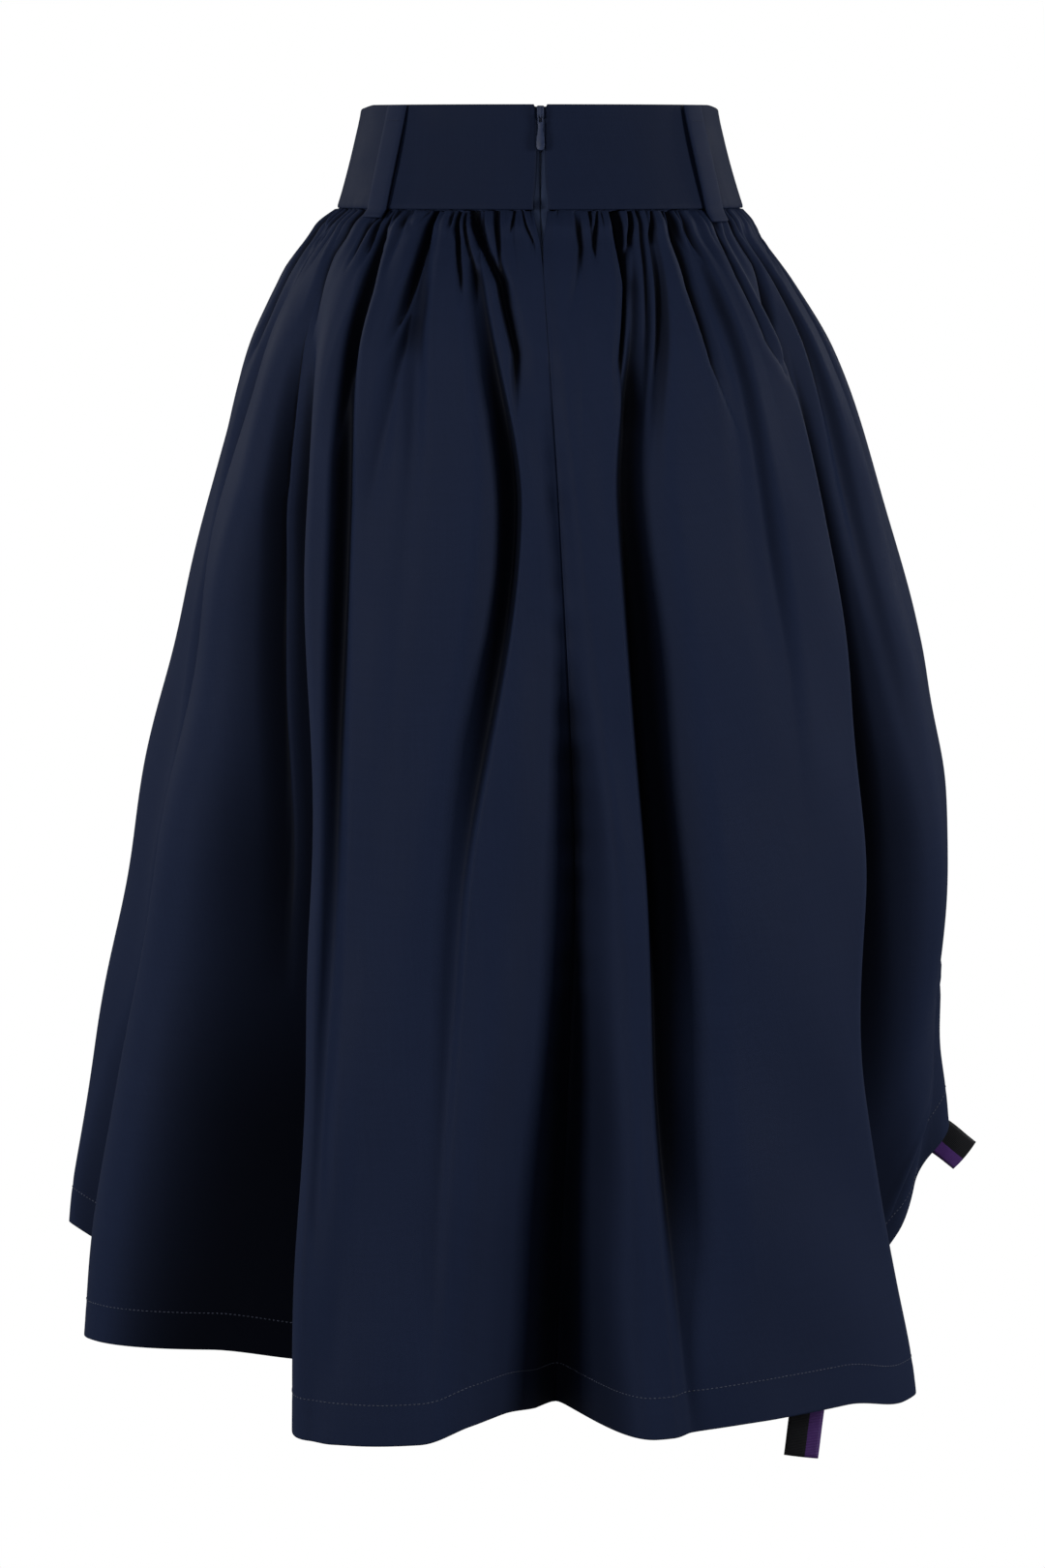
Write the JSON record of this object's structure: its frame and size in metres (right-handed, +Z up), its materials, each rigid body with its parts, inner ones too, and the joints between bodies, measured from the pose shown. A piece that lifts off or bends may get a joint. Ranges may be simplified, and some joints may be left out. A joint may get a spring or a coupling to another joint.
{
  "type": "drawstring skirt",
  "caption": "Gathered midi skirt with a shaped waistband, belt loops, a concealed back zip and a side drawn up by a ribbon drawstring.",
  "frame": {"origin": "centre of the waistband's top edge, where the wearer's waist holds it", "axes": "+Z up, the wearer faces -Y with the zip on the +Y side, and the wearer's left is +X"},
  "size_m": [0.6406, 0.4444, 0.9634],
  "materials": {
    "skirt_cloth": "fine plain weave, soft sheen",
    "waistband": "fine plain weave, interlined",
    "belt_loop": "fine plain weave, folded double",
    "zip_tape": "woven tape",
    "zip_metal": "glossy paint",
    "ribbon_dark": "ribbed ribbon"
  },
  "bodies": {
    "skirt": {"waistband_back_left": "waistband", "waistband_back_right": "waistband", "waistband_front": "waistband", "skirt_back_left": "skirt_cloth", "skirt_back_right": "skirt_cloth", "skirt_front": "skirt_cloth", "drawstring_casing": "skirt_cloth", "belt_loop_left": "belt_loop", "belt_loop_right": "belt_loop", "zip_tape_left": "zip_tape", "zip_tape_right": "zip_tape", "zip_slider": "zip_metal", "ribbon_knot": "ribbon_dark", "ribbon_loop": "ribbon_dark", "ribbon_tail_long": "ribbon_dark", "ribbon_tail_short": "ribbon_dark"},
    "zip_pull": {"zip_pull": "zip_metal"}
  },
  "joints": [
    {"name": "pull_tab_hinge", "type": "hinge", "parent": "skirt", "child": "zip_pull", "pos_m": [0, 0.09727, -0.0072], "axis": [1, 0, 0], "range_deg": [0, 140]}
  ]
}
